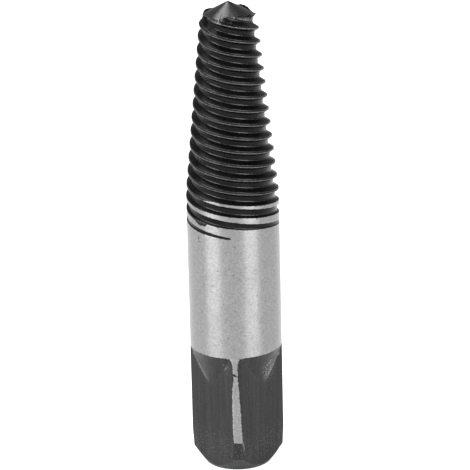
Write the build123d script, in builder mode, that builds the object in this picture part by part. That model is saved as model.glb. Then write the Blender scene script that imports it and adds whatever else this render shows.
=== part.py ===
"""Broken pipe extractor: one solid piece of tool steel.

A square drive end runs out into a plain round collar. Above it a tapered left-hand thread
of three starts fades out of the collar and breaks out through a conical point.
The origin is the middle of the end face that it stands on, +Z runs to the point, and
one corner of the square faces -Y.
"""

import os
from math import ceil, cos, radians, sin, tan

from build123d import *

# Driving dimensions, in millimetres and degrees
overall_length = 87.7
collar_diameter = 16.8
drive_across_flats = 13.0
end_face_diameter = 12.2

end_chamfer_height = 2.9
corner_relief_height = 6.3
corner_relief_depth = 0.2

shoulder_height = 22.9
runout_cone_height = 7.8
runout_cone_bite = 0.3
runout_cone_radius = 32.0

thread_lead = 7.5
thread_starts = 3
thread_taper = 0.1
taper_start_height = 52.6
groove_depth = 1.05
groove_end_height = 46.0
groove_fade_length = 3.3
crest_land = 0.4
flank_angle = 38.0
groove_height_at_front = 45.85

point_angle = 122.0

# How finely a groove is stepped round the axis, and how far its cutter stands proud
groove_step_angle = 10.0
cutter_overrun = 0.25
cutter_shallow_end = 0.1

# Sizes that follow from them
collar_radius = collar_diameter / 2
flat_distance = drive_across_flats / 2
thread_pitch = thread_lead / thread_starts
flank_run = tan(radians(flank_angle))
point_slope = tan(radians(point_angle / 2))
half_root = (thread_pitch - crest_land) / 2 - groove_depth * flank_run
point_base_height = (
    overall_length * point_slope - collar_radius - thread_taper * taper_start_height
) / (point_slope - thread_taper)
fade_end_height = groove_end_height + groove_fade_length


def crest_cone(height):
    """Radius of the tapered cone that the crests lie on."""
    return collar_radius - thread_taper * (height - taper_start_height)


def root_radius(height):
    """Radius of the bottom of the grooves, which fade out of the collar's surface."""
    if height >= fade_end_height:
        return crest_cone(height) - groove_depth
    share = max(0, height - groove_end_height) / groove_fade_length
    full_depth = collar_radius - crest_cone(fade_end_height) + groove_depth
    shallow = cutter_shallow_end if height < groove_end_height else 0
    return collar_radius + shallow - share * full_depth


def groove_profile(middle):
    """Profile of a groove's cutter where its middle is at one height, in a plane by the axis."""
    turned = 360 * (middle - groove_height_at_front) / thread_lead
    outward = (-sin(radians(turned)), -cos(radians(turned)), 0)
    around = (-cos(radians(turned)), sin(radians(turned)), 0)
    low = middle - half_root
    high = middle + half_root
    mouth = min(collar_radius, crest_cone(middle)) + cutter_overrun
    with BuildSketch(Plane(origin=(0, 0, 0), x_dir=outward, z_dir=around)) as profile:
        with BuildLine():
            Polyline(
                (root_radius(low), low),
                (root_radius(high), high),
                (mouth, high + (mouth - root_radius(high)) * flank_run),
                (mouth, low - (mouth - root_radius(low)) * flank_run),
                close=True,
            )
        make_face()
    return profile.sketch


# Cutter of one groove, from clear of the collar to past the point
with BuildPart() as groove_cutter:
    first_middle = groove_end_height - thread_pitch
    last_middle = overall_length + thread_pitch
    steps = ceil((last_middle - first_middle) / thread_lead * 360 / groove_step_angle)
    rise = (last_middle - first_middle) / steps
    loft([groove_profile(first_middle + rise * step) for step in range(steps + 1)], ruled=True)

# Drive square: four flats that run out on a hollow cone under the collar
with BuildPart() as drive_form:
    with BuildSketch():
        Rectangle(drive_across_flats, drive_across_flats, rotation=45)
    extrude(amount=shoulder_height)
    with BuildSketch(Plane.XZ):
        with BuildLine():
            foot = (flat_distance - runout_cone_bite, shoulder_height - runout_cone_height)
            cone = RadiusArc(foot, (collar_radius, shoulder_height), runout_cone_radius)
            mouth = cone @ 1 + (cone % 1) * runout_cone_height
            Line(cone @ 1, mouth)
            Polyline(mouth, (mouth.X, overall_length), (0, overall_length), (0, foot[1]), foot)
        make_face()
    revolve(axis=Axis.Z)

# Turned blank, with the flats and then the three grooves cut in it
with BuildPart() as extractor:
    with BuildSketch(Plane.XZ):
        with BuildLine():
            Polyline(
                (0, 0),
                (end_face_diameter / 2, 0),
                (collar_radius - corner_relief_depth, end_chamfer_height),
                (collar_radius, corner_relief_height),
                (collar_radius, taper_start_height),
                (crest_cone(point_base_height), point_base_height),
                (0, overall_length),
                close=True,
            )
        make_face()
    revolve(axis=Axis.Z)
    add(drive_form.part, mode=Mode.INTERSECT)
    with PolarLocations(0, thread_starts):
        add(groove_cutter.part, mode=Mode.SUBTRACT)

extractor.part.label = "extractor"

os.makedirs("parts", exist_ok=True)
export_step(extractor.part, "parts/extractor.step")
print("volume", round(extractor.part.volume), "faces", len(extractor.part.faces()))
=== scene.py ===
"""Looks of the broken pipe extractor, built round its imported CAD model.

Two detailed skins stand for the CAD node, the shank and the thread with its point, and two
thin curls of metal stand on the point's rim. The skins' shape comes from functions of the
angle round the axis and the height, in millimetres, with the sizes of the CAD model. Angles
are in degrees, start at the front (-Y) and are positive towards +X.
"""

from math import cos, pi, radians, sin, sqrt, tan

import bpy
import numpy as np
from mathutils import Matrix, Vector


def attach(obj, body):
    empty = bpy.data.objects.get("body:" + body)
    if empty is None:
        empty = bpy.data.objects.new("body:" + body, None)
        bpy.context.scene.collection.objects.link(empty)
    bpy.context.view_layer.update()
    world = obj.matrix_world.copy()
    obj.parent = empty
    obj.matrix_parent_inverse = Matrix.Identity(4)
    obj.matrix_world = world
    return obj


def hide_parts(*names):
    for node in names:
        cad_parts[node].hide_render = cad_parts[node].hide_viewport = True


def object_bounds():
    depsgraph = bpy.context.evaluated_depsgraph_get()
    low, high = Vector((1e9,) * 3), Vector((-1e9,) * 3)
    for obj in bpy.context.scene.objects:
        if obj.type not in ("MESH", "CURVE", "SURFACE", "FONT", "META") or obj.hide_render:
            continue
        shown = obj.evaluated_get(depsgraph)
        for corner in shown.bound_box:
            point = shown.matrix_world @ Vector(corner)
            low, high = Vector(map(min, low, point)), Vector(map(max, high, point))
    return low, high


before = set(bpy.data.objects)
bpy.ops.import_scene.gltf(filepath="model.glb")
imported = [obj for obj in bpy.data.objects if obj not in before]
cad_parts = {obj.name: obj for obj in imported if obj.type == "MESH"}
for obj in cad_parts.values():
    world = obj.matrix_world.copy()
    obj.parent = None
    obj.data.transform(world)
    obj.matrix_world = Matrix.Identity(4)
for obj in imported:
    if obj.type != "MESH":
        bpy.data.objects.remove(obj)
cad_low, cad_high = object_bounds()

# Sizes of the CAD model, in millimetres and degrees
overall_length = cad_high.z * 1000
collar_radius = (cad_high.x - cad_low.x) * 500
flat_distance = 6.5
end_face_radius = 6.1
end_chamfer_height = 2.9
corner_relief_height = 6.3
corner_relief_depth = 0.2
shoulder_height = 22.9
runout_cone_height = 7.8
runout_cone_bite = 0.3
runout_cone_radius = 32.0
thread_lead = 7.5
thread_starts = 3
thread_taper = 0.1
taper_start_height = 52.6
crest_land = 0.4
groove_height_at_front = 45.85
point_angle = 122.0

# The grooves as the photograph shows them: wide floors that are rounded into the flanks and
# narrow where they fade out, the cutter's mark along them, and the torn turns at the point
groove_depth = 0.88
groove_end_height = 45.9
flank_angle = 34.0
root_fillet = 0.15
faded_root_share = 0.45
tool_mark_offset = -0.42
tool_mark_depth = 0.03
tool_mark_start = 50
torn_turns_start = 83.9
torn_turns_depth = 0.5

thread_pitch = thread_lead / thread_starts
flank_run = tan(radians(flank_angle))
half_root = (thread_pitch - crest_land) / 2 - groove_depth * flank_run
point_slope = tan(radians(point_angle / 2))
mm_per_degree = collar_radius * pi / 180

# A radius that nothing on the tool reaches
out_of_reach = 99

# Where the shank's skin meets the thread's, and where the point's level rows start
skins_meet = 44.5
point_rows_start = 86.35


def smooth_min(a, b, width):
    """The smaller of two surfaces, rounded where they meet."""
    blend = np.maximum(width - np.abs(a - b), 0) / width
    return np.minimum(a, b) - blend * blend * width / 4


def smooth_max(a, b, width):
    """The larger of two surfaces, with a fillet where they meet."""
    return -smooth_min(-a, -b, width)


def bump(value, middle, reach):
    """1 in the middle of a range and 0 outside it, with a smooth slope."""
    share = np.clip(1 - np.abs(value - middle) / reach, 0, 1)
    return share * share * (3 - 2 * share)


def signed(angle):
    """An angle between -180 and 180 degrees."""
    return (angle + 180) % 360 - 180


def wobble(angle, height, phase=0.0):
    """Uneven ripples of the surface round and along the tool, roughly from -1 to 1."""
    a = np.radians(angle)
    slow = np.sin(5 * a + 1.7 * height + phase) + np.sin(11 * a - 2.9 * height + 2 * phase)
    fast = np.sin(23 * a + 5.3 * height + 3 * phase) + np.sin(41 * a - 7.1 * height)
    return 0.35 * slow + 0.2 * fast


def crest_cone(height):
    """Radius of the tapered cone that the crests lie on."""
    return collar_radius - thread_taper * (height - taper_start_height)


def fade_share(height):
    """How far along its fade-out of the collar a groove is: 0 where it ends, 1 at full depth."""
    return (height - groove_end_height) / (taper_start_height - groove_end_height)


def root_radius(height):
    """Radius of the bottom of the grooves, which fade out of the collar's surface."""
    share = fade_share(height)
    faded = collar_radius + 0.1 * (share < 0) - np.maximum(share, 0) * groove_depth
    torn = torn_turns_depth * np.clip((height - torn_turns_start) / 0.5, 0, 1)
    return np.where(share >= 1, crest_cone(height) - groove_depth - torn, faded)


def runout_cone(height):
    """Radius of the hollow cone that the flats run out on, an arc in profile."""
    foot = Vector((flat_distance - runout_cone_bite, shoulder_height - runout_cone_height))
    shoulder = Vector((collar_radius, shoulder_height))
    chord = shoulder - foot
    inset = sqrt(runout_cone_radius**2 - chord.length_squared / 4)
    side = Vector((chord.y, -chord.x)).normalized()
    centre = (foot + shoulder) / 2 + side * inset
    rise = np.clip(height - centre.y, foot.y - centre.y, None)
    return centre.x - np.sqrt(np.maximum(runout_cone_radius**2 - rise**2, 0))


def groove_middle(angle, number):
    """Height of the middle of one turn of the grooves; number 0 passes the front lowest."""
    return groove_height_at_front - thread_lead * angle / 360 + thread_pitch * number


def groove_offset(angle, height):
    """Height above the middle of the nearest groove."""
    above = height - groove_middle(angle, 0)
    return (above + thread_pitch / 2) % thread_pitch - thread_pitch / 2


def groove_cut(angle, height):
    """Radius of the grooves' own surface, with the cutter's mark on their floors."""
    offset = groove_offset(angle, height)
    level = height - offset
    widening = (1 - faded_root_share) * np.clip(fade_share(level) / 0.4, 0, 1)
    root = half_root * (faded_root_share + widening)
    rise = smooth_max(0, (np.abs(offset) - root) / flank_run, root_fillet)
    ridge = bump(offset, tool_mark_offset, 0.08)
    hollow = bump(offset, tool_mark_offset + 0.2, 0.2)
    mark = tool_mark_depth * (ridge - hollow)
    return root_radius(level) + rise + mark * (height > tool_mark_start)


def lip_radius(angle):
    """Radius of the torn edge of the point, above the last groove at the front and right."""
    turn = signed(angle)
    lip = np.interp(
        turn,
        (-12, 0, 5, 17, 32, 44, 65, 97, 110),
        (3.8, 3.58, 3.8, 3.7, 3.6, 3.9, 4.05, 4.7, 5.4),
    )
    a = np.radians(turn)
    return lip + 0.05 * np.sin(17 * a) + 0.05 * np.sin(31 * a)


def torn_lip(angle, height):
    """Radius of the hollow that the tearing has left under that edge."""
    turn = signed(angle)
    lip = lip_radius(angle)
    below = overall_length - lip / point_slope - height
    hollow = np.clip(3 * below, 0, 0.5 + 0.5 * bump(turn, 90, 45))
    inside = (turn > -12) & (turn < 110) & (height > groove_middle(turn, 16) - 0.15)
    return np.where(inside, lip - hollow, out_of_reach)


def point_rim(angle):
    """Radius of the rim of the point on the left, where the last ridge is gone."""
    return np.interp(
        signed(angle),
        (-150, -125, -95, -78, -58, -40, -29, -21, -14, -10, 12),
        (5.2, 4.85, 4.6, 4.35, 4.19, 4.33, 4.40, 4.33, 4.11, 3.8, 3.6),
    )


def worn_rim(angle, height):
    """Radius of the wall under that rim, and of the worn ridge below it."""
    turn = signed(angle)
    rim = point_rim(angle)
    wall = rim + 0.3 * np.maximum(overall_length - rim / point_slope - height, 0)
    lowest = groove_middle(turn, 15) + np.interp(turn, (-42, -24), (0, 1.28))
    inside = (turn > -150) & (turn < 12) & (height > lowest)
    ridge = np.interp(
        turn,
        (-150, -140, -125, -112, -104, -95, -80, -60),
        (5.3, 5.15, 5.2, 4.85, 4.85, 5.1, 5.4, 9),
    )
    on_ridge = (turn > -150) & (turn < -60) & (height > groove_middle(turn, 14))
    wall = np.where(inside, wall, out_of_reach)
    return np.minimum(wall, np.where(on_ridge, ridge, out_of_reach))


def rim_core(angle, height):
    """Radius that the last grooves leave uncut under that rim: upright, then slanting in."""
    turn = signed(angle)
    rim = point_rim(angle)
    upright = 0.1
    below = np.maximum(overall_length - rim / point_slope - upright - height, 0)
    return np.where((turn > -150) & (turn < -12), rim - 4 * below, 0)


def point_surface(angle, height):
    """Radius of the conical point, with its worn rim on the left and its torn lip."""
    cone = np.maximum((overall_length - height) * point_slope, 0)
    rim = smooth_min(cone, worn_rim(angle, height), 0.03)
    return smooth_min(rim, torn_lip(angle, height), 0.03)


def blank_radius(angle, height):
    """Radius of the turned blank, before the flats and the grooves are cut."""
    foot = np.interp(
        height,
        (0, end_chamfer_height, corner_relief_height),
        (end_face_radius, collar_radius - corner_relief_depth, collar_radius),
    )
    blank = smooth_min(foot, crest_cone(height), 0.04)
    return smooth_min(blank, point_surface(angle, height), 0.06)


# Torn and flattened places on the crests: angle, height, reach round, reach up, depth
crest_damage = (
    (86, 79.0, 14, 0.7, 0.28),
    (84, 70.6, 9, 0.6, 0.25),
    (62, 70.2, 5, 0.5, 0.2),
    (-6, 82.3, 5, 0.45, 0.3),
    (75, 67.6, 5, 0.5, 0.15),
    (-150, 74.0, 8, 0.6, 0.22),
    (165, 64.5, 6, 0.5, 0.2),
    (-118, 57.8, 5, 0.5, 0.15),
)


def wear(angle, height):
    """How much the crests have lost to tearing and waviness."""
    lost = 0.02 * wobble(angle, height)
    for at, level, round_reach, up_reach, depth in crest_damage:
        near = bump(signed(angle - at), 0, round_reach) * bump(height, level, up_reach)
        lost = lost + depth * near
    return lost * bump(height, 70, 17) ** 0.25


def cut_radius(angle, height):
    """Radius of the grooves, where the worn rim's core has kept them from being cut."""
    return np.maximum(groove_cut(angle, height), rim_core(angle, height))


def thread_radius(angle, height):
    """Radius of the finished thread and point."""
    blank = blank_radius(angle, height) - wear(angle, height)
    cut = cut_radius(angle, height)
    ragged = 0.02 * wobble(angle, height * 0.6, 1.0) * (height > 54)
    deep = np.clip((height - taper_start_height) / 2, 0, 1)
    return smooth_min(blank, cut + ragged, 0.03 + 0.02 * deep)


def shank_radius(angle, height):
    """Radius of the finished drive end and collar."""
    flats = flat_distance / np.cos(np.radians((angle % 90) - 45))
    drive = smooth_max(flats, runout_cone(height), 0.2)
    drive = np.where(height < shoulder_height + 1, drive, collar_radius + 1)
    return smooth_min(blank_radius(angle, height), drive, 0.05)


def strip_edges(height, corner):
    """Left and right edge, in degrees from the corner, of the strip ground on its land."""
    left = np.interp(
        height,
        (6.1, 6.5, 7.5, 9, 16, 17, 18.5, 19.2, 20.5, 24),
        (-5.3, -5.7, -6.2, -6.6, -6.6, -5.9, -4.4, -4.4, -5.2, -5.4),
    )
    right = np.interp(
        height,
        (6.1, 6.5, 7.5, 10, 12.7, 15, 17, 18.5, 21, 24),
        (4.4, 5.0, 4.9, 4.2, 3.5, 2.6, 2.0, 1.2, 1.0, 1.2),
    )
    if corner == 0:
        return left, right
    swell = 1 + 0.15 * np.sin(height * 0.55 + corner * 2)
    if corner == 1:
        return -right * swell, -left * swell
    return left * swell, right * swell


def segment_distance(across, up, ax, ay, bx, by):
    """Distance of points from a short scratch, in millimetres."""
    along = ((across - ax) * (bx - ax) + (up - ay) * (by - ay)) / ((bx - ax) ** 2 + (by - ay) ** 2)
    along = np.clip(along, 0, 1)
    return np.hypot(across - ax - along * (bx - ax), up - ay - along * (by - ay))


def shank_ground(angle, height):
    """How far inside its ground surface a point of the shank lies, in millimetres."""
    strip_foot = 6.2
    ground = height - shoulder_height
    for corner in range(4):
        turn = signed(angle - 90 * corner)
        left, right = strip_edges(height, corner)
        beside = np.minimum(turn - left, right - turn) * mm_per_degree
        strip = smooth_min(beside, height - strip_foot, 0.15)
        strip = np.where(np.abs(turn) < 45, strip, -5)
        ground = smooth_max(ground, strip, 1.5)
    across = signed(angle) * mm_per_degree
    nick = segment_distance(across, height, -0.75, 19.8, -0.15, 19.4) - 0.16
    pit = np.hypot(across + 3.25, height - 27.75) - 0.12
    return np.minimum(np.minimum(ground, nick), pit)


def shank_scratch_and_highlight(angle, height):
    """Bright places on the dark shank, from 0 to 1: a real scratch, and a painted highlight along
    the run-out edges.
    """
    across = signed(angle) * mm_per_degree
    scratch = segment_distance(across, height, 0.78, 6.4, 1.02, 5.0)
    scratch_width = 0.14
    scratch = np.clip(1 - scratch / scratch_width, 0, 1) * 0.8
    from_flat = (angle % 90) - 45
    flats = flat_distance / np.cos(np.radians(from_flat))
    above = np.where(height < shoulder_height, runout_cone(height) - flats, -out_of_reach)
    corner = np.round((angle + 45 * np.sign(from_flat)) / 90) % 4
    # Painted highlight: strong only on the halves of the flats next to the left and right corners,
    # rising towards the corners
    at_sides = np.where(corner % 2 == 1, 1.0, 0.06)
    weight = at_sides * np.clip((np.abs(from_flat) - 3) / 26, 0, 1)
    outline_highlight = weight * (0.95 * bump(above, 0.03, 0.15) + 0.25 * bump(above, 0.25, 0.45))
    return np.clip(scratch + outline_highlight, 0, 1)


def shank_specks(angle, height):
    """Where the dark shank is speckled with small bright dents, from 0 to 1."""
    across = signed(angle) * mm_per_degree
    right = 1.4 * bump(across, 8.2, 2.8) * bump(height, 19.2, 3.2)
    left = 0.6 * bump(across, -2.2, 1.0) * bump(height, 20.6, 2.0)
    foot = 0.12 * bump(height, 4.5, 5.0)
    return np.clip(right + left + foot, 0, 1)


def shank_columns():
    """Angles of the shank's columns, closer together on the corner lands."""
    land_edge = 45 - np.degrees(np.arccos(flat_distance / collar_radius))
    near = np.arange(-8.4, 8.5, 0.8)
    corner = np.concatenate([near, [-land_edge - 0.3, -land_edge, land_edge, land_edge + 0.3]])
    quarter = np.concatenate([np.sort(corner), np.arange(11.5, 79, 2.5)])
    return np.sort(np.concatenate([quarter + 90 * k for k in range(4)]) % 360)


def shank_rows():
    """Heights of the shank's level rows, closer together where its edges slant."""
    return np.concatenate(
        [
            np.arange(0.0, 2.7, 0.18),
            [2.75, 2.85, 2.95, 3.1, 3.5, 4.2, 5.0, 5.7, 6.0],
            np.arange(6.15, 7.2, 0.15),
            np.arange(7.5, 15.0, 0.5),
            np.arange(15.0, 22.6, 0.15),
            [22.65, 22.75, 22.82, 22.87, 22.91, 22.96, 23.05, 23.2, 23.4, 23.7, 24.1, 24.6],
            np.arange(25.4, skins_meet, 0.9),
            [skins_meet],
        ]
    )


def new_piece(name, xyz, faces):
    """A smooth object with crisp edges, from points in millimetres."""
    mesh = bpy.data.meshes.new(name)
    mesh.from_pydata((xyz / 1000).tolist(), [], faces)
    mesh.update()
    mesh.shade_smooth()
    mesh.set_sharp_from_angle(angle=radians(38))
    piece = bpy.data.objects.new(name, mesh)
    bpy.context.scene.collection.objects.link(piece)
    return piece


def store(mesh, name, values):
    """Keeps one number for each point of a piece, for its material."""
    layer = mesh.attributes.new(name, "FLOAT", "POINT")
    layer.data.foreach_set("value", np.asarray(values, dtype=np.float32))


class Skin:
    """Points and faces of one skin, each point with its angle and height."""

    def __init__(self):
        self.at = []
        self.marks = []
        self.faces = []

    def points(self, angles, heights, *marks):
        """New points, with up to three numbers that are kept for each."""
        start = len(self.at)
        shape = np.shape(angles)
        self.at.extend(zip(np.ravel(angles), np.ravel(heights)))
        marks = (*marks, 0.0, 0.0, 0.0)[:3]
        self.marks.extend(zip(*[np.ravel(np.broadcast_to(values, shape)) for values in marks]))
        return np.arange(start, start + np.size(angles)).reshape(shape)

    def strip(self, lower, upper):
        """A closed band of faces between two rings."""
        for i in range(len(lower)):
            k = (i + 1) % len(lower)
            self.faces.append((lower[i], lower[k], upper[k], upper[i]))

    def make(self, name, radius_at, caps):
        """The skin as an object; caps are rings drawn in to a point on the axis."""
        at = np.array(self.at)
        turn = np.radians(at[:, 0])
        radius = radius_at(at[:, 0], at[:, 1])
        xyz = np.column_stack([radius * np.sin(turn), -radius * np.cos(turn), at[:, 1]])
        marks = np.array(self.marks)
        for ring, height, upwards in caps:
            previous = ring
            for share in (0.93, 0.6, 0.3) if not upwards else ():
                inner = np.arange(len(xyz), len(xyz) + len(ring))
                xyz = np.vstack([xyz, xyz[ring] * (share, share, 1)])
                marks = np.vstack([marks, marks[ring]])
                self.strip(inner, previous)
                previous = inner
            centre = len(xyz)
            xyz = np.vstack([xyz, [(0, 0, height)]])
            marks = np.vstack([marks, [(-1, 0, 0)]])
            for i in range(len(ring)):
                k = (i + 1) % len(ring)
                pair = (previous[i], previous[k]) if upwards else (previous[k], previous[i])
                self.faces.append((*pair, centre))
        used = np.unique(np.concatenate([np.array(f) for f in self.faces]))
        renumber = np.full(len(xyz), -1)
        renumber[used] = np.arange(len(used))
        faces = [tuple(int(renumber[v]) for v in face) for face in self.faces]
        return new_piece(name, xyz[used], faces), marks[used], xyz[used]


def build_shank():
    """The drive end and the collar."""
    skin = Skin()
    angles = shank_columns()
    rings = []
    for height in shank_rows():
        rings.append(skin.points(angles, np.full(angles.shape, height)))
    for lower, upper in zip(rings, rings[1:]):
        skin.strip(lower, upper)
    shank, _, xyz = skin.make("extractor_shank", shank_radius, [(rings[0], 0, False)])
    return shank, xyz


def groove_edges(angles, numbers):
    """Lowest and highest height of each groove at each angle, and whether it is cut there."""
    steps = 250
    spread_uncut = 0.7
    middles = groove_middle(angles[:, None], numbers[None, :])
    reach = np.linspace(-thread_pitch / 2, thread_pitch / 2, steps + 1)
    heights = middles[:, :, None] + reach
    turns = np.broadcast_to(angles[:, None, None], heights.shape)
    depth = blank_radius(turns, heights) - cut_radius(turns, heights)
    is_cut = depth > 0
    found = is_cut.any(axis=2) & (middles > groove_end_height - thread_pitch)
    edges = []
    for way in (1, -1):
        first = np.argmax(is_cut[:, :, ::way], axis=2)
        first = np.clip(first, 1, steps)
        inner = np.take_along_axis(depth[:, :, ::way], first[:, :, None], 2)[:, :, 0]
        outer = np.take_along_axis(depth[:, :, ::way], first[:, :, None] - 1, 2)[:, :, 0]
        share = np.clip(outer / np.where(outer == inner, 1, outer - inner), 0, 1)
        step = (first - 1 + share) * thread_pitch / steps
        edges.append(middles + way * (step - thread_pitch / 2))
    limit = thread_pitch / 2 - crest_land / 4
    low = np.where(found, np.maximum(edges[0], middles - limit), middles - spread_uncut)
    high = np.where(found, np.minimum(edges[1], middles + limit), middles + spread_uncut)
    return middles, low, high, found


# Rows of the thread's skin: shares of half a groove, steps beside the cutter's mark, and
# shares of the land above a groove, each with the strength of its painted highlight line
groove_rows = (0.13, 0.26, 0.36, 0.44, 0.53, 0.66, 0.8, 0.93, 1.0)
mark_rows = (-0.06, 0.0, 0.06)
land_rows = (
    (0.15, 0.4),
    (0.25, 0.2),
    (0.35, 0.05),
    (0.5, 0.0),
    (0.65, 0.0),
    (0.75, 0.0),
    (0.85, 0.05),
)


def in_columns(rows):
    """Rows of every groove as one column of values for each angle, from the foot up."""
    return np.stack(rows, axis=2).reshape(len(rows[0]), -1)


def snap_to_lip(angles, heights):
    """Moves the nearest row of each column on to the torn lip, and the next close under it."""
    for column, angle in zip(heights, angles):
        share = np.clip((signed(angle) + 22) / 20, 0, 1) * (signed(angle) < 104)
        lip = overall_length - lip_radius(angle) / point_slope
        nearest = np.argmin(np.abs(column - lip))
        column[nearest] += share * (lip + 0.01 - column[nearest])
        under = max(lip - 0.03, column[nearest - 2] + 0.005)
        column[nearest - 1] += share * (under - column[nearest - 1])


def missed_by_grinding(angles, heights, inside):
    """Limits the ground surface: a patch on the left wasn't reached, nor the crests above."""
    turn = signed(angles)[:, None]
    limit = np.interp(turn, (-90, -58, -46, -36, -33.5), (49.2, 48.6, 47.8, 47.85, 50.5))
    near = (turn < -33) & (heights > 46.5) & (heights < 49.5)
    inside = np.where(near, np.minimum(inside, limit - heights), inside)
    return np.minimum(inside, taper_start_height + 0.15 - heights)


def build_thread():
    """The thread and the point, with rows that follow the edges of the grooves."""
    skin = Skin()
    angles = np.arange(0, 360, 2.0)
    numbers = np.arange(-4, 21)
    middles, low, high, found = groove_edges(angles, numbers)
    centre = (low + high) / 2
    reach = (high - low) / 2
    half = np.array(groove_rows)
    rows = [centre + reach * share for share in (*-half[::-1], 0, *half)]
    for step in mark_rows:
        rows.append(np.clip(middles + tool_mark_offset + step, low + 0.03, high - 0.03))
    rows = list(np.sort(rows, axis=0))
    inside = [np.where(found, -np.minimum(row - low, high - row), 0.5) for row in rows]
    wear_and_highlight = []
    land = []
    for k, row in enumerate(rows):
        # Painted highlight lines on the groove's edge rows, strongest on its top edge, the lower
        # edge of the land above
        edge = {0: 0.3, len(rows) - 2: 0.2, len(rows) - 1: 1.0}.get(k, 0.0)
        # Painted highlight along the cutter's mark in the groove floor
        mark = 0.4 * bump(row - middles, tool_mark_offset, 0.07)
        wear_and_highlight.append(np.where(found, np.maximum(edge, mark), 0.0))
        land.append(np.where(found, float(k in (0, len(rows) - 1)), 1.0))
    next_low = np.roll(low, -1, axis=1)
    next_low[:, -1] = high[:, -1] + crest_land
    for share, edge in land_rows:
        row = high + (next_low - high) * share
        rows.append(row)
        inside.append(np.minimum(row - high, next_low - row))
        wear_and_highlight.append(np.full(row.shape, edge))
        land.append(np.ones(row.shape))
    heights = in_columns(rows)
    snap_to_lip(angles, heights)
    inside = missed_by_grinding(angles, heights, in_columns(inside))

    low_ring = skin.points(angles, np.full(angles.shape, skins_meet), 1.0)
    high_ring = skin.points(angles, np.full(angles.shape, point_rows_start))
    turns = np.broadcast_to(angles[:, None], heights.shape)
    grid = skin.points(turns, heights, inside, in_columns(wear_and_highlight), in_columns(land))
    grid = np.where(heights <= skins_meet, low_ring[:, None], grid)
    grid = np.where(heights >= point_rows_start, high_ring[:, None], grid)
    # The last column meets the first one a whole lead up the thread
    shift = len(rows) * thread_starts
    after_last = np.concatenate([np.full(shift, low_ring[0]), grid[0][:-shift]])
    for here, after in zip(grid, (*grid[1:], after_last)):
        for j in range(len(here) - 1):
            face = tuple(dict.fromkeys((here[j], after[j], after[j + 1], here[j + 1])))
            if len(face) > 2:
                skin.faces.append(face)
    lower = high_ring
    for height in np.linspace(point_rows_start, overall_length, 14)[1:-1]:
        upper = skin.points(angles, np.full(angles.shape, height))
        skin.strip(lower, upper)
        lower = upper
    return skin.make("extractor_thread", thread_radius, [(lower, overall_length, True)])


def build_burr(name, turn, radius, foot, top, finish):
    """A thin curl of metal that the cutter has left standing on the rim of the point."""
    wall = 0.13
    # The curl is coloured brighter along its top edge
    wear_and_highlight = (0, 0, 0.5, 1.0, 0.2, 0)
    section = [
        (radius - 0.1, foot),
        (radius - 0.02, (foot + top) / 2),
        (radius - 0.12, top),
        (radius - 0.12 + wall / 2, top + 0.03),
        (radius + wall, (foot + top) / 2),
        (radius + 0.05, foot),
    ]
    a = np.radians(turn)
    rows = [np.column_stack([r * np.sin(a), -r * np.cos(a), z]) for r, z in section]
    points = np.stack(rows, axis=1).reshape(-1, 3)
    count = len(section)
    faces = [tuple(range(count)), tuple(len(points) - 1 - k for k in range(count))]
    for i in range(len(turn) - 1):
        for k in range(count):
            n = (k + 1) % count
            faces.append((i * count + k, (i + 1) * count + k, (i + 1) * count + n, i * count + n))
    burr = new_piece(name, points, faces)
    store(burr.data, "wear_and_highlight", np.tile(wear_and_highlight, len(turn)))
    store(burr.data, "land", np.zeros(len(points)))
    burr.data.materials.append(bpy.data.materials[finish])
    return burr


def back_burr():
    """The curl on the last ridge at the back, on the right."""
    turn = np.arange(116, 168.1, 2.0)
    radius = np.interp(turn, (116, 122, 139, 160, 168), (4.72, 4.62, 4.48, 4.33, 4.25))
    foot = groove_middle(turn, 17) - 1.0
    knots = (116, 122, 130, 139, 150, 160, 168)
    top = np.interp(turn, knots, (84.9, 85.35, 85.65, 85.88, 85.92, 85.75, 85.0))
    top = np.maximum(top + 0.05 * np.sin(np.radians(turn) * 37), foot + 0.1)
    return build_burr("extractor_burr_back", turn, radius, foot, top, "black_thread")


def left_burr():
    """The lower curl on the rim at the back, on the left."""
    turn = np.arange(-156, -97.9, 2.0)
    knots = (-156, -146, -135, -124, -112, -98)
    radius = np.interp(turn, knots, (4.7, 4.85, 4.95, 4.95, 4.75, 4.5))
    foot = groove_middle(turn, 14) + 0.9
    raised = np.interp(turn, knots, (0.0, 0.28, 0.42, 0.4, 0.25, 0.0))
    top = np.maximum(overall_length - radius / point_slope + raised, foot + 0.1)
    return build_burr("extractor_burr_left", turn, radius, foot, top, "black_point")


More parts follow.
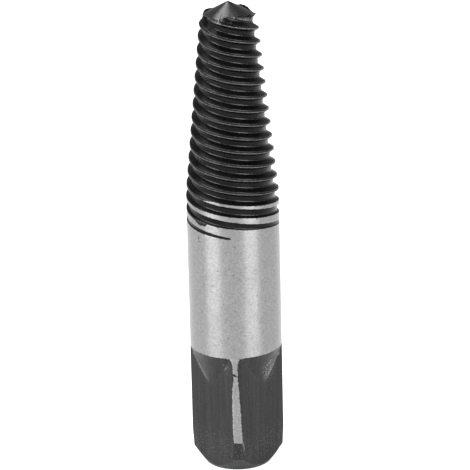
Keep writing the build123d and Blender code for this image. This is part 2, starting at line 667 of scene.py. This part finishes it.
class Tree:
    """Short calls for one material's nodes."""

    def __init__(self, name):
        self.material = bpy.data.materials.new(name)
        self.material.use_nodes = True
        self.nodes = self.material.node_tree.nodes
        self.links = self.material.node_tree.links
        self.shader = self.nodes["Principled BSDF"]
        self.output = self.nodes["Material Output"]

    def add(self, kind, inputs=None, **settings):
        """A new node, with its inputs by name or number."""
        node = self.nodes.new(kind)
        for key, value in settings.items():
            setattr(node, key, value)
        for key, value in (inputs or {}).items():
            self.set(node.inputs[key], value)
        return node

    def set(self, socket, value):
        """Links a socket to another, or gives it a number or colour."""
        if isinstance(value, bpy.types.NodeSocket):
            self.links.new(value, socket)
        else:
            socket.default_value = value

    def math(self, operation, first, second):
        return self.add("ShaderNodeMath", {0: first, 1: second}, operation=operation).outputs[0]

    def span(self, value, low, high, to_low, to_high):
        """A value mapped from one range to another, and held at its ends."""
        inputs = {0: value, 1: low, 2: high, 3: to_low, 4: to_high}
        return self.add("ShaderNodeMapRange", inputs).outputs[0]

    def mix(self, share, first, second):
        """The first value where the share is 0, and the second where it is 1."""
        inputs = {0: share, 2: first, 3: second}
        return self.add("ShaderNodeMix", inputs).outputs[0]

    def grey(self, value):
        return self.add("ShaderNodeCombineColor", {0: value, 1: value, 2: value}).outputs[0]

    def value_of(self, name):
        """A number stored on the skin's points."""
        return self.add("ShaderNodeAttribute", attribute_name=name).outputs["Fac"]

    def noise(self, stretch, scale, detail=4.0, rough=0.6):
        """Noise in the tool's own coordinates, stretched along its axes."""
        place = self.add("ShaderNodeTexCoord").outputs["Object"]
        mapped = self.add("ShaderNodeMapping", {0: place, 3: stretch}).outputs[0]
        inputs = {"Vector": mapped, "Scale": scale, "Detail": detail, "Roughness": rough}
        return self.add("ShaderNodeTexNoise", inputs).outputs[0]

    def turned(self, amount):
        """Stretches the shader's reflections as on metal with fine lines round the tool."""
        self.shader.inputs["Anisotropic"].default_value = amount
        self.shader.inputs["Anisotropic Rotation"].default_value = 0.25
        tangent = self.add("ShaderNodeTangent", direction_type="RADIAL", axis="Z").outputs[0]
        self.set(self.shader.inputs["Tangent"], tangent)

    def finish(self, value, rough, height, strength, depth, metallic=1.0):
        """Sets the shader's colour, roughness, relief and share of metal."""
        self.set(self.shader.inputs["Base Color"], self.grey(value))
        self.set(self.shader.inputs["Roughness"], rough)
        self.shader.inputs["Metallic"].default_value = metallic
        inputs = {"Strength": strength, "Distance": depth, "Height": height}
        relief = self.add("ShaderNodeBump", inputs).outputs[0]
        self.set(self.shader.inputs["Normal"], relief)
        return self.material


def ground_steel():
    """Bright steel with fine grinding lines round the tool, black where it wasn't reached."""
    tree = Tree("ground_steel")
    lines = tree.noise((1, 1, 14), 900, 6.0, 0.7)
    cloud = tree.noise((1, 1, 1), 160, 3.0)
    grain = tree.noise((1, 1, 1), 2600, 2.0)
    value = tree.span(lines, 0.25, 0.75, 0.225, 0.315)
    value = tree.math("ADD", value, tree.span(cloud, 0.3, 0.7, -0.02, 0.02))
    value = tree.math("ADD", value, tree.span(grain, 0.3, 0.7, -0.045, 0.045))
    specks = tree.noise((1, 1, 1), 1700, 2.0)
    value = tree.math("ADD", value, tree.span(specks, 0.66, 0.74, 0.0, -0.16))
    edge = tree.math("ADD", tree.value_of("ground"), tree.span(grain, 0.3, 0.7, -0.09, 0.09))
    reached = tree.span(edge, -0.03, 0.03, 0.0, 1.0)
    value = tree.mix(reached, 0.025, value)
    rough = tree.mix(reached, 0.4, tree.span(cloud, 0.3, 0.7, 0.3, 0.36))
    tree.turned(0.9)
    return tree.finish(value, rough, lines, 0.25, 0.00003)


def black_flats():
    """Blackened milled steel with faint streaks along the tool, a bright scratch, painted
    highlights along the run-out edges, and dents.
    """
    tree = Tree("black_flats")
    streaks = tree.noise((1, 1, 0.04), 1500, 4.0, 0.6)
    cloud = tree.noise((1, 1, 1), 200, 4.0)
    grain = tree.noise((1, 1, 1), 2600, 3.0, 0.7)
    fine = tree.math("MULTIPLY", grain, 0.6)
    value = tree.math("MULTIPLY", cloud, 0.3)
    value = tree.math("ADD", value, tree.math("MULTIPLY", streaks, 0.7))
    value = tree.math("ADD", value, fine)
    value = tree.span(value, 0.6, 1.0, 0.026, 0.046)
    patchy = tree.span(grain, 0.35, 0.65, 0.3, 1.0)
    # The scratch and the painted run-out highlights, mixed towards a bright grey
    value = tree.mix(tree.math("MULTIPLY", tree.value_of("scratch_and_highlight"), patchy), value, 0.3)
    dents = tree.span(tree.noise((1, 1, 1), 3300, 2.0), 0.54, 0.66, 0.0, 0.8)
    value = tree.mix(tree.math("MULTIPLY", dents, tree.value_of("specks")), value, 0.4)
    rough = tree.span(cloud, 0.3, 0.7, 0.36, 0.48)
    relief = tree.math("ADD", streaks, fine)
    return tree.finish(value, rough, relief, 0.35, 0.00004)


def black_thread():
    """Blackened steel as the thread's cutter left it, a little rough and torn, with painted
    highlight lines along the crests' edges and the cutter's mark.
    """
    tree = Tree("black_thread")
    torn = tree.noise((1, 1, 2.2), 2600, 5.0, 0.7)
    cloud = tree.noise((1, 1, 1), 260, 4.0)
    grain = tree.noise((1, 1, 1.6), 4200, 3.0, 0.75)
    mottle = tree.math("ADD", tree.math("MULTIPLY", cloud, 0.5), grain)
    groove = tree.span(mottle, 0.6, 0.9, 0.002, 0.012)
    land = tree.span(mottle, 0.6, 0.9, 0.0, 0.018)
    value = tree.mix(tree.value_of("land"), groove, land)
    patchy = tree.span(torn, 0.35, 0.6, 0.25, 1.0)
    # Painted highlights: the marked edge rows are mixed towards a bright grey, broken up by the
    # torn noise
    value = tree.mix(tree.math("MULTIPLY", tree.value_of("wear_and_highlight"), patchy), value, 0.3)
    rough = tree.span(torn, 0.3, 0.7, 0.16, 0.4)
    relief = tree.math("ADD", torn, tree.math("MULTIPLY", grain, 0.5))
    tree.shader.inputs["Specular IOR Level"].default_value = 0.12
    return tree.finish(value, rough, relief, 0.5, 0.00003, metallic=0.5)


def black_point():
    """The point's turned cone, blackened but smoother than the thread."""
    tree = Tree("black_point")
    rings = tree.noise((1, 1, 9), 900, 5.0, 0.65)
    cloud = tree.noise((1, 1, 1), 420, 4.0)
    value = tree.span(rings, 0.3, 0.7, 0.08, 0.14)
    value = tree.math("ADD", value, tree.span(cloud, 0.35, 0.65, -0.02, 0.02))
    rough = tree.span(cloud, 0.3, 0.7, 0.34, 0.42)
    tree.turned(0.7)
    return tree.finish(value, rough, rings, 0.3, 0.00003)


def face_means(mesh, values):
    """The mean and the largest of some point values on each face."""
    total = len(mesh.polygons)
    starts = np.zeros(total, dtype=np.int32)
    mesh.polygons.foreach_get("loop_start", starts)
    corners = np.zeros(len(mesh.loops), dtype=np.int32)
    mesh.loops.foreach_get("vertex_index", corners)
    at_corners = np.asarray(values)[corners]
    counts = np.diff(np.append(starts, len(corners)))
    mean = np.add.reduceat(at_corners, starts) / counts
    return mean, np.maximum.reduceat(at_corners, starts)


def set_finishes(mesh, indices):
    """Gives each face the material with its number."""
    mesh.polygons.foreach_set("material_index", indices.astype(np.int32))


def dress_shank(shank, xyz):
    """Finishes the shank: ground collar and corner strips, black flats."""
    turn = np.degrees(np.arctan2(xyz[:, 0], -xyz[:, 1]))
    ground = shank_ground(turn, xyz[:, 2])
    store(shank.data, "ground", ground)
    store(shank.data, "scratch_and_highlight", shank_scratch_and_highlight(turn, xyz[:, 2]))
    store(shank.data, "specks", shank_specks(turn, xyz[:, 2]))
    shank.data.materials.append(ground_steel())
    shank.data.materials.append(black_flats())
    bright = face_means(shank.data, ground)[1] > 0.001
    set_finishes(shank.data, np.where(bright, 0, 1))


def dress_thread(thread, marks, xyz):
    """Finishes the thread: the last of the ground collar, black grooves and point."""
    ground = marks[:, 0]
    store(thread.data, "ground", ground)
    store(thread.data, "wear_and_highlight", marks[:, 1])
    store(thread.data, "land", marks[:, 2])
    thread.data.materials.append(bpy.data.materials["ground_steel"])
    thread.data.materials.append(black_thread())
    thread.data.materials.append(black_point())
    turn = np.degrees(np.arctan2(xyz[:, 0], -xyz[:, 1]))
    radius = np.hypot(xyz[:, 0], xyz[:, 1])
    cone = (overall_length - xyz[:, 2]) * point_slope
    off_point = np.where(xyz[:, 2] < 83, out_of_reach, np.abs(radius - cone))
    off_point = face_means(thread.data, off_point)[0]
    bright = face_means(thread.data, ground)[1] > 0.01
    on_collar = face_means(thread.data, xyz[:, 2])[0] < taper_start_height + 0.4
    set_finishes(thread.data, np.where(bright & on_collar, 0, np.where(off_point < 0.06, 2, 1)))


def studio_sheet(name, corners, material):
    """One flat face of the studio, from its corners in metres."""
    mesh = bpy.data.meshes.new(name)
    mesh.from_pydata(corners, [], [(0, 1, 2, 3)])
    mesh.materials.append(material)
    sheet = bpy.data.objects.new(name, mesh)
    bpy.context.scene.collection.objects.link(sheet)
    return sheet


def studio_floor():
    """A pale floor, white to the camera and in the metal except in the object's shadow."""
    reach = 6.0
    corners = [(-reach, -reach, 0), (reach, -reach, 0), (reach, reach, 0), (-reach, reach, 0)]
    tree = Tree("floor_white")
    tree.shader.inputs["Base Color"].default_value = (0.85, 0.85, 0.85, 1)
    tree.shader.inputs["Roughness"].default_value = 0.9
    rays = tree.add("ShaderNodeLightPath")
    glow = tree.add("ShaderNodeEmission", {"Color": (1, 1, 1, 1)})
    seen = tree.math("MAXIMUM", rays.outputs["Is Camera Ray"], rays.outputs["Is Glossy Ray"])
    seen = tree.math("MAXIMUM", seen, rays.outputs["Is Transmission Ray"])
    tree.set(glow.inputs["Strength"], tree.math("MULTIPLY", seen, 0.66))
    both = tree.add("ShaderNodeAddShader", {0: tree.shader.outputs[0], 1: glow.outputs[0]})
    tree.set(tree.output.inputs["Surface"], both.outputs[0])
    floor = studio_sheet("floor", corners, tree.material)


def studio_backdrop():
    """A pale wall behind the object, which its edges reflect."""
    reach = 1.6
    behind = 1.2
    corners = [(-reach, behind, 0), (reach, behind, 0)]
    corners += [(reach, behind, reach), (-reach, behind, reach)]
    tree = Tree("backdrop_white")
    glow = tree.add("ShaderNodeEmission", {"Color": (1, 1, 1, 1), "Strength": 0.3})
    tree.set(tree.output.inputs["Surface"], glow.outputs[0])
    wall = studio_sheet("backdrop", corners, tree.material)


def studio_world():
    """A soft grey room."""
    world = bpy.data.worlds.new("studio")
    bpy.context.scene.world = world
    world.use_nodes = True
    background = world.node_tree.nodes["Background"]
    background.inputs["Color"].default_value = (1, 1, 1, 1)
    background.inputs["Strength"].default_value = 0.11


def softbox(name, azimuth, distance, height, width, tall, power):
    """A soft light beside or over the object that faces its middle; sizes are in metres."""
    target = Vector((0, 0, 0.045))
    light = bpy.data.lights.new(name, "AREA")
    light.shape = "RECTANGLE"
    light.size = width
    light.size_y = tall
    light.energy = power
    lamp = bpy.data.objects.new(name, light)
    bpy.context.scene.collection.objects.link(lamp)
    place = Vector((sin(radians(azimuth)) * distance, -cos(radians(azimuth)) * distance, height))
    lamp.location = place
    lamp.rotation_euler = (target - place).to_track_quat("-Z", "Y").to_euler()


def camera():
    """The photograph's camera: its elevation, roll, focal length and distance."""
    place = (0.00027, -0.5506, 0.2430)
    elevation = 19.902
    roll = -1.38
    focal_pixels = 3233.3
    picture_pixels = 470
    data = bpy.data.cameras.new("camera")
    data.sensor_width = 36
    data.lens = data.sensor_width * focal_pixels / picture_pixels
    data.clip_start = 0.01
    data.clip_end = 50
    eye = bpy.data.objects.new("camera", data)
    bpy.context.scene.collection.objects.link(eye)
    tilt = Matrix.Rotation(radians(90 - elevation), 4, "X")
    eye.matrix_world = Matrix.Translation(place) @ tilt @ Matrix.Rotation(radians(roll), 4, "Z")
    bpy.context.scene.camera = eye


shank, shank_points = build_shank()
dress_shank(shank, shank_points)
thread, thread_marks, thread_points = build_thread()
dress_thread(thread, thread_marks, thread_points)
for piece in (shank, thread, back_burr(), left_burr()):
    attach(piece, "root")
    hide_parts("extractor")
studio_floor()
studio_backdrop()
studio_world()
softbox("left_softbox", -54, 0.6, 0.36, 0.44, 0.7, 5.0)
softbox("right_softbox", 43, 0.6, 0.36, 0.42, 0.7, 4.7)
softbox("top_softbox", -125, 0.25, 0.8, 0.55, 0.45, 3.2)
camera()

bpy.context.scene.view_settings.view_transform = "Standard"
